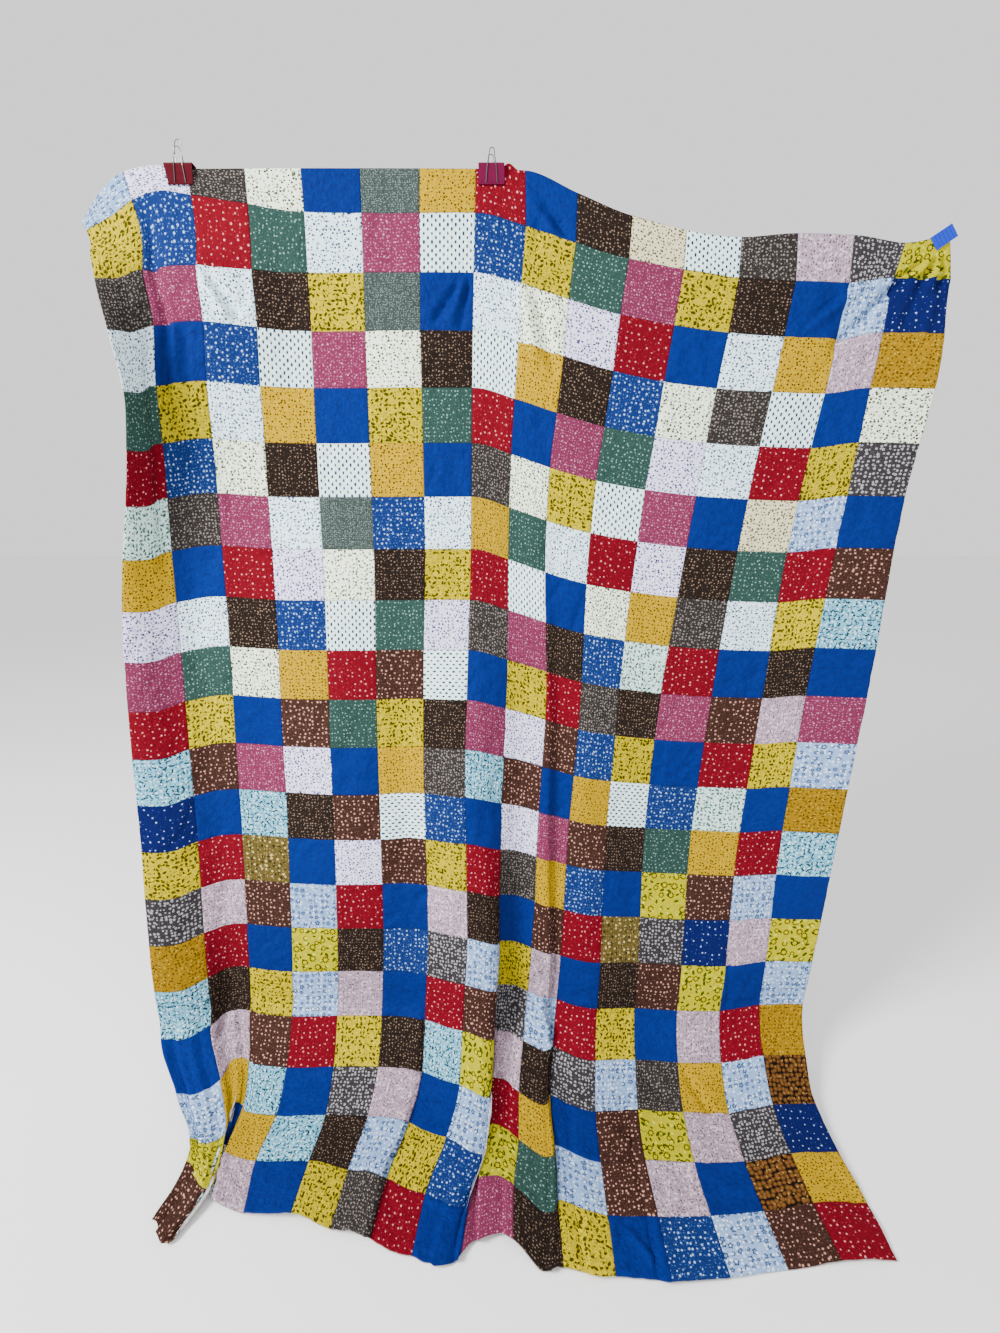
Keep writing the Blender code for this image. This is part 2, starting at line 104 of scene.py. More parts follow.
class Curve:
    """A smooth curve through one column of a short table that never overshoots its rows."""

    def __init__(self, table: tuple[Row, ...], column: int = 1) -> None:
        """Work out the slope at each station.

        Args:
            table: Rows that start with their station, rising.
            column: Which value of a row the curve runs through.
        """
        self.stations = [row[0] for row in table]
        self.values = [row[column] for row in table]
        spans = [b - a for a, b in zip(self.stations, self.stations[1:])]
        rises = [(b - a) / span for a, b, span in zip(self.values, self.values[1:], spans)]
        inner = []
        for before, after, low, high in zip(spans, spans[1:], rises, rises[1:]):
            if low * high <= 0.0:
                inner.append(0.0)
                continue
            weight = (2.0 * after + before) / low + (after + 2.0 * before) / high
            inner.append(3.0 * (before + after) / weight)
        self.slopes = [rises[0], *inner, rises[-1]]

    def at(self, place: float) -> float:
        """Return the value at a place.

        Args:
            place: Where to read the curve; beyond the ends it keeps the end values.

        Returns:
            The value there.
        """
        left = 0
        while left < len(self.stations) - 2 and place > self.stations[left + 1]:
            left += 1
        span = self.stations[left + 1] - self.stations[left]
        part = min(1.0, max(0.0, (place - self.stations[left]) / span))
        square, cube = part * part, part ** 3
        return ((2 * cube - 3 * square + 1) * self.values[left]
                + (cube - 2 * square + part) * span * self.slopes[left]
                + (3 * square - 2 * cube) * self.values[left + 1]
                + (cube - square) * span * self.slopes[left + 1])


def linear(colour: str) -> tuple[float, float, float, float]:
    """Turn an sRGB hex colour into the linear colour that shaders take.

    Args:
        colour: Six hex digits, such as "1558c8".

    Returns:
        Red, green, blue and an alpha of one.
    """
    shares = [int(colour[at:at + 2], 16) / 255.0 for at in (0, 2, 4)]
    turned = [c / 12.92 if c <= 0.04045 else ((c + 0.055) / 1.055) ** 2.4 for c in shares]
    return (turned[0], turned[1], turned[2], 1.0)


def put(name: str, data: bpy.types.ID) -> bpy.types.Object:
    """Put a new object into the scene.

    Args:
        name: The object's name.
        data: Its mesh, light or camera.

    Returns:
        The object.
    """
    made = bpy.data.objects.new(name, data)
    bpy.context.collection.objects.link(made)
    return made


def put_mesh(name: str, bm: bmesh.types.BMesh) -> bpy.types.Object:
    """Finish a bmesh and put it into the scene.

    Args:
        name: The name of the object and its mesh.
        bm: The finished shape, which is freed.

    Returns:
        The object.
    """
    mesh = bpy.data.meshes.new(name)
    bm.to_mesh(mesh)
    bm.free()
    return put(name, mesh)


class Recipe:
    """A material in the making: its nodes and its Principled shader."""

    def __init__(self, name: str) -> None:
        """Start the material.

        Args:
            name: What the finish is.
        """
        self.material = bpy.data.materials.new(name)
        self.material.use_nodes = True
        self.tree = self.material.node_tree
        self.shader = self.tree.nodes["Principled BSDF"]

    def feed(self, node: Node, inputs: dict) -> Node:
        """Set or link inputs of a node.

        Args:
            node: The node.
            inputs: A value, a socket, or a node for its first socket, by an input's name or number.

        Returns:
            The node.
        """
        for key, value in inputs.items():
            source = value.outputs[0] if isinstance(value, Node) else value
            if isinstance(source, Socket):
                self.tree.links.new(source, node.inputs[key])
            else:
                node.inputs[key].default_value = source
        return node

    def add(self, kind: str, inputs: dict, **settings: object) -> Node:
        """Add a node with its settings and links.

        Args:
            kind: The node's type, such as "Math".
            inputs: What each input gets, as for feed.
            settings: The node's own properties.

        Returns:
            The new node.
        """
        made = self.tree.nodes.new("ShaderNode" + kind)
        for name, value in settings.items():
            setattr(made, name, value)
        return self.feed(made, inputs)


# ---------------------------------------------------------------- the cloth's shape

@dataclass
class Drape:
    """How the quilt hangs: the same sizes and tables as its solid has."""

    square: float = 0.108
    columns: int = 16
    rows: int = 21
    hang_height: float = 1.920
    touch_down: float = 0.115       # length over which the cloth turns onto the floor
    turn_drop: float = 1.3708       # how far it falls there, by that length: Si(pi / 2)
    held_rows: float = 0.85         # the clips keep this much of the top row plane
    held_squares: float = 1.2       # squares from the left edge over which they take hold
    free_rows: float = 1.4          # the folds grow over this many rows below it
    least_drop: float = 0.3         # the steepest fold still drops by this share of its length
    foot_row: float = 17.0          # the row where the cloth reaches the floor
    fine_steps: int = 8
    lowest: float = 0.0015          # the middle of the cloth where it lies flat
    # across, x, edge height, first seam height, share taken up in small creases
    top_edge: tuple[Row, ...] = (
        (0.0, -0.802, 1.828, 1.770, 0.014),
        (0.5, -0.764, 1.877, 1.790, 0.004),
        (1.0, -0.712, 1.915, 1.826, -0.004),
        (1.5, -0.650, 1.926, 1.838, -0.005),
        (2.0, -0.589, 1.920, 1.842, -0.005),
        (4.0, -0.369, 1.921, 1.842, 0.000),
        (7.0, -0.030, 1.920, 1.843, 0.000),
        (8.0, 0.066, 1.917, 1.820, 0.001),
        (9.0, 0.168, 1.878, 1.790, 0.005),
        (10.0, 0.276, 1.838, 1.762, 0.010),
        (12.0, 0.492, 1.800, 1.728, 0.018),
        (13.0, 0.602, 1.807, 1.721, 0.018),
        (14.0, 0.713, 1.804, 1.718, 0.018),
        (15.0, 0.815, 1.790, 1.727, 0.018),
        (16.0, 0.901, 1.806, 1.724, 0.018),
    )
    section_seams: Row = (0.0, 1.0, 2.0, 4.0, 7.0, 9.0, 12.0, 14.0, 15.0, 16.0)
    # rows down, then the place of each of the seams above
    sections: tuple[Row, ...] = (
        (1.0, -0.778, -0.690, -0.582, -0.366, -0.032, 0.166, 0.492, 0.712, 0.800, 0.912),
        (2.0, -0.736, -0.672, -0.573, -0.364, -0.035, 0.153, 0.474, 0.694, 0.782, 0.903),
        (3.0, -0.702, -0.652, -0.561, -0.362, -0.038, 0.144, 0.456, 0.676, 0.764, 0.892),
        (4.0, -0.688, -0.659, -0.566, -0.362, -0.040, 0.132, 0.441, 0.657, 0.750, 0.872),
        (5.0, -0.704, -0.665, -0.569, -0.362, -0.042, 0.120, 0.426, 0.640, 0.735, 0.850),
        (7.0, -0.750, -0.678, -0.576, -0.360, -0.045, 0.112, 0.398, 0.613, 0.706, 0.826),
        (9.0, -0.770, -0.674, -0.573, -0.359, -0.052, 0.114, 0.372, 0.596, 0.684, 0.811),
        (12.0, -0.778, -0.670, -0.573, -0.357, -0.060, 0.098, 0.350, 0.568, 0.660, 0.784),
        (15.0, -0.766, -0.665, -0.572, -0.359, -0.057, 0.084, 0.338, 0.543, 0.638, 0.748),
        (17.0, -0.744, -0.658, -0.572, -0.364, -0.069, 0.066, 0.320, 0.516, 0.614, 0.713),
        (18.0, -0.676, -0.606, -0.552, -0.356, -0.072, 0.055, 0.308, 0.503, 0.600, 0.694),
        (19.0, -0.606, -0.556, -0.532, -0.350, -0.092, 0.053, 0.302, 0.500, 0.597, 0.694),
        (20.0, -0.598, -0.540, -0.534, -0.358, -0.124, 0.042, 0.303, 0.502, 0.598, 0.700),
        (21.0, -0.614, -0.560, -0.526, -0.362, -0.136, 0.039, 0.302, 0.506, 0.602, 0.698),
    )
    fold_rows: Row = (0.0, 3.0, 7.0, 12.0, 17.0)
    # head, foot, half width, and how far it stands out at each row after the first
    folds: tuple[tuple[float, float, float, Row], ...] = (
        (8.0, 8.0, 99.0, (0.013, 0.004, 0.012, 0.058)),
        (-0.4, 0.0, 1.7, (0.122, 0.080, 0.058, 0.076)),
        (1.6, 1.2, 2.6, (0.040, -0.004, 0.004, -0.020)),
        (4.4, 4.4, 2.2, (-0.008, 0.006, 0.028, -0.010)),
        (7.0, 7.2, 1.8, (-0.008, 0.003, 0.052, 0.054)),
        (8.8, 10.8, 1.9, (0.006, 0.010, 0.012, 0.036)),
        (12.8, 13.2, 2.6, (0.000, 0.009, -0.008, 0.020)),
        (16.0, 16.0, 2.4, (0.011, 0.040, 0.020, -0.012)),
    )
    # head row, place of the head, foot row, place of the foot, depth
    pleats: tuple[Row, ...] = (
        (11.5, 8.0, 19.0, 8.1, 0.044),
        (2.5, 8.8, 19.5, 10.0, 0.036),
        (14.5, 1.25, 19.5, 1.25, 0.038),
    )
    # squares from the middle of a pleat, share of its depth
    pleat_shape: tuple[Row, ...] = ((-1.1, 0.0), (-0.28, 0.6), (0.14, -0.4), (1.0, 0.0))
    pleat_overhang: float = 0.6     # how far its crest leans over, by its depth
    pleat_fade_rows: float = 2.0
    pleat_rise: float = 0.3         # height of a lying pleat, by its depth
    # across, reach beyond an even hem, lift off the floor
    hem_table: tuple[Row, ...] = (
        (0.0, -0.006, 0.000),
        (1.0, 0.000, 0.000),
        (2.0, -0.030, 0.004),
        (3.0, -0.018, 0.000),
        (4.1, -0.006, 0.008),
        (5.0, 0.014, 0.000),
        (6.1, 0.020, 0.006),
        (7.0, 0.008, 0.000),
        (8.2, 0.000, 0.002),
        (9.0, -0.014, 0.012),
        (9.7, 0.008, 0.002),
        (11.0, -0.010, 0.000),
        (12.0, 0.005, 0.000),
        (14.0, -0.018, 0.000),
        (16.0, -0.012, 0.000),
    )
    hem_start_row: float = 18.5
    # The left edge is tucked under itself just before it reaches the floor.
    tuck_row: float = 19.4
    tuck_depth: float = 0.072
    tuck_ridge: float = 0.016
    tuck_rows: float = 1.2

    def __post_init__(self) -> None:
        """Make the curves through the tables once."""
        self.touch_height = self.turn_drop * self.touch_down
        self.edge_curves = [Curve(self.top_edge, column) for column in (1, 2, 3, 4)]
        self.seam_curves = [Curve(self.sections, column)
                            for column in range(1, len(self.section_seams) + 1)]
        self.hem_curves = [Curve(self.hem_table, column) for column in (1, 2)]
        self.pleat_curve = Curve(self.pleat_shape)
        self.section_cache: dict[float, Curve] = {}

    def place_across(self, across: float, down: float) -> float:
        """Find how far right a place on the cloth lies.

        Args:
            across: Squares from the left.
            down: Rows from the top.

        Returns:
            Its x.
        """
        level = round(max(1.0, down), 5)
        if level not in self.section_cache:
            self.section_cache[level] = Curve(tuple(
                (seam, curve.at(level)) for seam, curve in zip(self.section_seams, self.seam_curves)))
        below = self.section_cache[level].at(across)
        if down >= 1.0:
            return below
        edge = self.edge_curves[0].at(across)
        return edge + (below - edge) * down

    def fold_height(self, out: Row, down: float) -> float:
        """Ease a fold's height between the rows that give it.

        Args:
            out: Its height at each of those rows after the first.
            down: Rows from the top.

        Returns:
            How far it stands out.
        """
        heights = (0.0, *out)
        if down >= self.fold_rows[-1]:
            return heights[-1]
        index = 0
        while down > self.fold_rows[index + 1]:
            index += 1
        span = self.fold_rows[index + 1] - self.fold_rows[index]
        part = ease((down - self.fold_rows[index]) / span)
        return heights[index] + (heights[index + 1] - heights[index]) * part

    def pleat(self, across: float, down: float) -> tuple[float, float]:
        """Lay the pleats.

        Args:
            across: Squares from the left.
            down: Rows from the top.

        Returns:
            How far they move the cloth outwards and to the right.
        """
        out = 0.0
        for head_row, head, foot_row, foot, depth in self.pleats:
            along = min(1.0, max(0.0, (down - head_row) / (foot_row - head_row)))
            off = across - head - (foot - head) * along
            if self.pleat_shape[0][0] < off < self.pleat_shape[-1][0]:
                faded = 1.0 - ease((down - foot_row) / self.pleat_fade_rows)
                out += depth * along * ease(2.0 * along) * faded * self.pleat_curve.at(off)
        return out, self.pleat_overhang * out

    def stand_out(self, across: float, down: float) -> float:
        """Add up the folds and pleats of the hanging cloth.

        Args:
            across: Squares from the left.
            down: Rows from the top.

        Returns:
            How far the cloth stands out from the hanging line.
        """
        along = min(1.0, down / self.foot_row)
        total = 0.0
        for head, foot, half_width, out in self.folds:
            share = bell((across - head - (foot - head) * along) / half_width)
            if share:
                total += self.fold_height(out, down) * share
        held = self.held_rows * ease(across / self.held_squares)
        return total * ease((down - held) / self.free_rows) + self.pleat(across, down)[0]

    def follow_down(self, across: float) -> list[tuple[float, float]]:
        """Follow one line of the cloth from its top edge to its hem.

        Args:
            across: The line's place in squares from the left.

        Returns:
            The distance out and the height, for each fine step of each row.
        """
        edge, seam, slack = (curve.at(across) for curve in self.edge_curves[1:])
        pitch = self.square * (1.0 - slack) / self.fine_steps
        out, height = self.stand_out(across, 0.0), edge
        line = [(out, height)]
        lying = None
        for step in range(1, self.rows * self.fine_steps + 1):
            down = step / self.fine_steps
            if lying is None:
                next_out = self.stand_out(across, down)
                drop = math.sqrt(max(pitch ** 2 - (next_out - out) ** 2,
                                     (self.least_drop * pitch) ** 2))
                fallen = edge + (seam - edge) * down if down <= 1.0 else height - drop
                if fallen > self.touch_height:
                    out, height = next_out, fallen
                else:
                    lying = 0.0
            if lying is not None:
                pace = self.square / self.fine_steps
                turned = math.exp(-(lying + 0.5 * pace) / self.touch_down)
                heading = 0.5 * math.pi * (1.0 - turned)
                out += pace * math.sin(heading)
                height -= pace * math.cos(heading)
                lying += pace
            line.append((out, max(height, self.lowest)))
        return line

    def point(self, line: list[tuple[float, float]], across: float, down: float) -> Vector:
        """Find the middle of the cloth at a place.

        Args:
            line: The followed line that the place is on.
            across: Squares from the left.
            down: Rows from the top.

        Returns:
            The point in the frame.
        """
        step = min(down * self.fine_steps, len(line) - 1.001)
        index = int(step)
        out, height = (here + (there - here) * (step - index)
                       for here, there in zip(line[index], line[index + 1]))
        share = 1.0 - ease(across)
        turned = (down - self.tuck_row) / self.tuck_rows
        back = self.tuck_depth * share * ease(turned + 0.5)
        ridge = self.tuck_ridge * share * bell(turned)
        grown = ease((down - self.hem_start_row) / (self.rows - self.hem_start_row))
        reach, lift = (grown * curve.at(across) for curve in self.hem_curves)
        fold_out, aside = self.pleat(across, down)
        lying = 1.0 - ease(height / self.touch_height)
        rise = self.pleat_rise * abs(fold_out) * lying
        return Vector((self.place_across(across, down) + aside,
                       -(out + fold_out * lying + reach - back),
                       height + lift + ridge + rise - self.hang_height))


@dataclass(frozen=True)
class Crease:
    """One crease: a soft trough or ridge between two places on the quilt."""

    start: tuple[float, float]      # squares across, rows down
    end: tuple[float, float]
    half_width: float               # squares
    depth: float                    # metres, below zero for a trough

    def height(self, across: float, down: float) -> float:
        """Work out the crease at a place.

        Args:
            across: Squares from the left.
            down: Rows from the top.

        Returns:
            How far it lifts the cloth there.
        """
        run_across, run_down = self.end[0] - self.start[0], self.end[1] - self.start[1]
        length = math.hypot(run_across, run_down)
        from_start, below = across - self.start[0], down - self.start[1]
        share = (from_start * run_across + below * run_down) / length / length
        off = (from_start * run_down - below * run_across) / length
        if not -0.1 < share < 1.1 or abs(off) >= self.half_width:
            return 0.0
        # It deepens over the first fifth of its length and fades over the last.
        fade = ease(share / 0.3 + 0.3) * ease((1.0 - share) / 0.3 + 0.3)
        return self.depth * fade * bell(off / self.half_width)


CREASES = (
    # drag lines below the left clip
    Crease((2.2, 2.1), (2.7, 2.9), 0.13, -0.0095),
    Crease((2.05, 2.2), (2.5, 3.0), 0.14, 0.0070),
    Crease((1.25, 3.0), (1.15, 4.6), 0.12, -0.0080),
    Crease((1.45, 2.9), (1.40, 4.4), 0.11, 0.0070),
    Crease((1.65, 3.1), (1.62, 4.3), 0.10, -0.0065),
    Crease((1.15, 1.2), (1.30, 3.2), 0.15, -0.0080),
    Crease((0.85, 2.8), (0.85, 7.4), 0.22, -0.0100),
    # drag lines below the middle clip
    Crease((6.20, 2.9), (6.75, 2.1), 0.12, -0.0090),
    Crease((6.50, 3.0), (6.82, 2.1), 0.11, 0.0070),
    Crease((6.75, 3.0), (6.90, 2.1), 0.10, -0.0080),
    Crease((8.15, 0.2), (8.85, 0.95), 0.12, -0.0110),
    Crease((8.05, 0.5), (8.60, 1.0), 0.13, 0.0070),
    Crease((8.35, 2.1), (8.85, 3.4), 0.18, -0.0100),
    Crease((8.00, 2.0), (8.45, 3.3), 0.20, 0.0095),
    # drag lines below the corner clip
    Crease((15.70, 0.3), (15.05, 1.0), 0.10, -0.0110),
    Crease((15.74, 0.3), (15.28, 1.1), 0.09, 0.0100),
    Crease((15.78, 0.3), (15.46, 1.2), 0.09, -0.0110),
    Crease((15.82, 0.3), (15.64, 1.3), 0.08, 0.0100),
    Crease((15.86, 0.3), (15.80, 1.3), 0.08, -0.0110),
    Crease((15.50, 0.9), (14.60, 1.5), 0.13, -0.0080),
    Crease((15.55, 1.0), (15.30, 2.0), 0.13, -0.0070),
    Crease((15.80, 1.1), (15.65, 2.1), 0.12, 0.0065),
    Crease((15.20, 1.0), (13.90, 2.2), 0.17, -0.0105),
    Crease((14.30, 1.1), (13.10, 2.0), 0.17, 0.0080),
    Crease((13.90, 1.2), (13.20, 1.9), 0.12, -0.0080),
    # crumples above the foot
    Crease((9.2, 15.2), (9.9, 16.9), 0.18, -0.0120),
    Crease((9.3, 16.1), (9.8, 17.2), 0.14, 0.0095),
    Crease((12.1, 17.2), (12.8, 17.9), 0.13, -0.0090),
    Crease((13.1, 17.1), (13.6, 18.0), 0.13, -0.0080),
    Crease((11.2, 18.3), (11.9, 18.8), 0.12, 0.0060),
    Crease((11.3, 20.2), (11.8, 20.8), 0.12, 0.0060),
)


@dataclass
class Studio:
    """The floor, the lights and the camera. None of it belongs to the quilt."""

    lowest: float           # the solids' lowest point
    gap: float = 0.0012     # the floor's surface lies this far below it
    # name, place, aim, width in metres, watts
    lamps: tuple = (("key", (-3.0, -2.4, 1.1), (0.0, 0.0, -0.8), 1.8, 430.0),
                    ("fill", (2.4, -3.2, 0.4), (0.0, 0.0, -0.9), 2.6, 40.0))
    sky: float = 1.25
    camera_place: Row = (0.0165, -1.514, -0.681)    # at chest height
    camera_drop: float = 11.2       # degrees below level
    lens: float = 18.9              # millimetres, on a frame 36 mm wide

    def build(self) -> None:
        """Make the floor, the lights and the camera."""
        self._floor()
        self._lights()
        self._camera()

    def _floor(self) -> None:
        """Lay a plain pale floor."""
        bm = bmesh.new()
        bmesh.ops.create_grid(bm, x_segments=4, y_segments=4, size=30.0)
        bmesh.ops.translate(bm, verts=bm.verts, vec=Vector((0.0, 0.0, self.lowest - self.gap)))
        floor = put_mesh("studio_floor", bm)
        paper = Recipe("matt studio paper")
        grain = paper.add("TexNoise", {"Scale": 40.0, "Detail": 2.0})
        rough = paper.add("MapRange", {"Value": grain, "To Min": 0.85, "To Max": 0.95})
        paper.feed(paper.shader, {"Roughness": rough, "Base Color": linear("f6f6f6")})
        floor.data.materials.append(paper.material)
        floor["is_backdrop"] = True

    def _lights(self) -> None:
        """Set a large soft key, a fill and an even pale sky."""
        for name, spot, aim, size, power in self.lamps:
            light = bpy.data.lights.new(name, "AREA")
            light.shape = "DISK"
            light.size = size
            light.energy = power
            lamp = put(name, light)
            lamp.location = spot
            lamp.rotation_euler = (Vector(aim) - Vector(spot)).to_track_quat("-Z", "Y").to_euler()
        world = bpy.data.worlds.new("pale room")
        world.use_nodes = True
        sky = world.node_tree.nodes["Background"]
        sky.inputs["Color"].default_value = (1.0, 1.0, 1.0, 1.0)
        sky.inputs["Strength"].default_value = self.sky
        bpy.context.scene.world = world

    def _camera(self) -> None:
        """Stand the camera a step and a half away, tilted down a little."""
        lens = bpy.data.cameras.new("camera")
        lens.sensor_width = 36.0
        lens.lens = self.lens
        lens.clip_start = 0.05
        camera = put("camera", lens)
        camera.location = self.camera_place
        camera.rotation_euler = (math.radians(90.0 - self.camera_drop), 0.0, 0.0)
        bpy.context.scene.camera = camera


# ---------------------------------------------------------------- printed cottons

class Motif(Enum):
    """The outline of a printed motif: how slender it is, its lobes and how deep they are cut."""

    DOT = (1.0, 0.0, 0.0)
    LEAF = (1.9, 0.0, 0.0)
    DASH = (1.7, 0.0, 0.0)
    BLOSSOM = (1.0, 5.0, 0.38)
    DAISY = (1.0, 9.0, 0.35)
    SPRIG = (1.3, 2.0, 0.75)


@dataclass(frozen=True)
class Scatter:
    """One motif strewn over a print."""

    motif: Motif
    spacing: float          # millimetres between motifs
    size: float             # millimetres from the middle to the tip of a lobe
    colour: str
    share: float = 1.0      # share of the places that hold a motif
    eye: str = ""           # colour of its middle, if it has one
    eye_share: float = 0.34
    loose: float = 0.70     # 1 for a free scatter, less for an even one
    vary: float = 0.30      # how much its size varies
    staggered: bool = False     # in even rows, each set off by half a step


@dataclass(frozen=True)
class Cotton:
    """A quilting cotton: plain woven, printed on one side, and washed soft.

    Its ground is matt, its print keeps crisp edges, and the wash leaves the colour slightly
    uneven.
    """

    name: str
    ground: str
    scatters: tuple[Scatter, ...] = ()
    mottle: float = 0.10    # how uneven the ground is
    roughness: float = 0.86
    crumple: float = 1.0    # a loosely woven cloth creases more between its seams


COTTONS = {
    "B": Cotton("royal blue sateen", "041e66", (), 0.18, 0.62, crumple=2.6),
    "C": Cotton("blue with pale blossoms", "12285e", (
        Scatter(Motif.BLOSSOM, 10.0, 2.1, "86a0cc", 0.75, "c4d4ec"),
        Scatter(Motif.SPRIG, 6.5, 1.5, "44629c", 0.75))),
    "R": Cotton("deep red with salmon spots", "660616", (
        Scatter(Motif.BLOSSOM, 14.0, 1.8, "d08488", 0.85),
        Scatter(Motif.DOT, 9.0, 1.0, "983038", 0.55))),
    "D": Cotton("dark brown with tan dots", "1e1612", (
        Scatter(Motif.DOT, 7.0, 1.25, "766252", 0.80, vary=0.4),
        Scatter(Motif.SPRIG, 6.0, 1.2, "4a3c32", 0.6))),
    "T": Cotton("taupe with crowded florals", "2a2624", (
        Scatter(Motif.BLOSSOM, 6.8, 1.8, "7c7570", 0.85),
        Scatter(Motif.SPRIG, 5.2, 1.4, "565150", 0.7))),
    "U": Cotton("rust brown with pink blossoms", "34201a", (
        Scatter(Motif.BLOSSOM, 10.0, 2.1, "ac8070", 0.80, "d0a898"),
        Scatter(Motif.SPRIG, 6.0, 1.3, "6a463c", 0.7))),
    "Y": Cotton("yellow with olive leaves", "b09e00", (
        Scatter(Motif.LEAF, 9.0, 4.1, "383402", 0.80, vary=0.35),
        Scatter(Motif.BLOSSOM, 13.0, 2.8, "c4b000", 0.6),
        Scatter(Motif.LEAF, 6.0, 1.8, "6a620c", 0.6))),
    "V": Cotton("bright yellow with large flowers", "aca400", (
        Scatter(Motif.LEAF, 15.0, 5.0, "3c4604", 0.75),
        Scatter(Motif.DAISY, 24.0, 7.4, "2e2c04", 0.95, "b4aa00", 0.60, 0.6, 0.2),
        Scatter(Motif.BLOSSOM, 19.0, 3.2, "c8c838", 0.6))),
    "O": Cotton("mustard with dark dots", "aa8804", (
        Scatter(Motif.BLOSSOM, 7.4, 1.9, "3a2608", 0.88),
        Scatter(Motif.BLOSSOM, 9.0, 1.6, "b8962c", 0.6))),
    "G": Cotton("teal green with pale sprigs", "263f39", (
        Scatter(Motif.BLOSSOM, 9.0, 1.6, "70908a", 0.80, "9cb4ac"),
        Scatter(Motif.SPRIG, 6.0, 1.4, "42605a", 0.7))),
    "E": Cotton("grey green all-over print", "384340", (
        Scatter(Motif.SPRIG, 4.4, 1.6, "717e7a", 0.85),
        Scatter(Motif.DOT, 3.9, 0.8, "262e2c", 0.7))),
    "P": Cotton("rose with pale blossoms", "6c2844", (
        Scatter(Motif.BLOSSOM, 5.8, 1.2, "a86884", 0.75),
        Scatter(Motif.BLOSSOM, 13.0, 1.5, "c48ca2", 0.7))),
    "W": Cotton("white with grey specks", "dcf4ff", (
        Scatter(Motif.DOT, 7.6, 1.9, "30425a", 0.85, loose=0.85),
        Scatter(Motif.LEAF, 8.5, 2.2, "869cb0", 0.7)), 0.05),
    "J": Cotton("white with a small staggered sprig", "e0f8fa", (
        Scatter(Motif.DASH, 15.5, 3.6, "22374c", 1.0, vary=0.15, staggered=True),
        Scatter(Motif.DOT, 5.5, 0.7, "a8bac2", 0.5)), 0.04),
    "N": Cotton("cream with grey green specks", "eef8e0", (
        Scatter(Motif.DOT, 7.6, 2.0, "3a4430", 0.85, loose=0.85),
        Scatter(Motif.LEAF, 8.5, 2.3, "98a380", 0.7)), 0.06),
    "S": Cotton("ecru with faint specks", "d4cca6", (
        Scatter(Motif.DOT, 6.8, 1.9, "524c36", 0.85, loose=0.85),), 0.06),
    "L": Cotton("pale lavender with specks", "dcdaf8", (
        Scatter(Motif.DOT, 7.0, 1.9, "3a3862", 0.82, loose=0.85),
        Scatter(Motif.LEAF, 8.5, 2.3, "968cb8", 0.7)), 0.05),
    "K": Cotton("dusty pink with fine specks", "a08a9a", (
        Scatter(Motif.DOT, 5.8, 1.5, "54444f", 0.60, loose=0.85),
        Scatter(Motif.SPRIG, 10.0, 4.2, "c8b6c2", 0.55)), crumple=4.6),
    "Q": Cotton("light blue floral", "84a2cc", (
        Scatter(Motif.BLOSSOM, 14.0, 4.8, "263e64", 0.85, "6880a8", 0.5, 0.4),
        Scatter(Motif.BLOSSOM, 9.0, 2.6, "ccdcf0", 0.7)), 0.06, crumple=2.8),
    "A": Cotton("pale aqua with leaf motifs", "70acc4", (
        Scatter(Motif.SPRIG, 10.0, 4.2, "10303e", 0.90),
        Scatter(Motif.BLOSSOM, 9.0, 2.4, "c4e2ea", 0.7),
        Scatter(Motif.LEAF, 6.5, 2.2, "2e6274", 0.65)), 0.06, crumple=2.6),
    "M": Cotton("mint white with grey green leaves", "c2e2dc", (
        Scatter(Motif.LEAF, 8.8, 3.6, "36524c", 0.85),
        Scatter(Motif.DOT, 6.6, 1.5, "6c8a80", 0.7)), 0.06),
    "Z": Cotton("brown pebbles outlined in black", "120c08", (
        Scatter(Motif.DOT, 10.5, 5.2, "543414", 1.0, "6c4820", 0.55, 0.55, 0.15),
        Scatter(Motif.LEAF, 12.0, 2.6, "94703c", 0.5))),
    "H": Cotton("charcoal with crowded white flowers", "302d2f", (
        Scatter(Motif.BLOSSOM, 8.0, 2.5, "9c9a9e", 0.90, "64626a", 0.3, 0.6),
        Scatter(Motif.DOT, 5.0, 0.7, "5c5a60", 0.5)), crumple=1.6),
    "X": Cotton("navy with sparse white dots", "0a144c", (
        Scatter(Motif.BLOSSOM, 16.0, 1.7, "98aad0", 0.80, vary=0.3),
        Scatter(Motif.DOT, 11.0, 0.9, "3c508e", 0.5))),
    "F": Cotton("olive and tan print", "54471f", (
        Scatter(Motif.BLOSSOM, 13.0, 3.6, "2f290f", 0.7),
        Scatter(Motif.BLOSSOM, 14.0, 2.8, "b7a670", 0.75),
        Scatter(Motif.LEAF, 7.0, 1.8, "8a7c4c", 0.6))),
    "I": Cotton("old gold with a dark motif", "8c6a08", (
        Scatter(Motif.LEAF, 7.4, 2.7, "4c3806", 0.80),
        Scatter(Motif.BLOSSOM, 9.0, 1.6, "b09434", 0.6))),
}

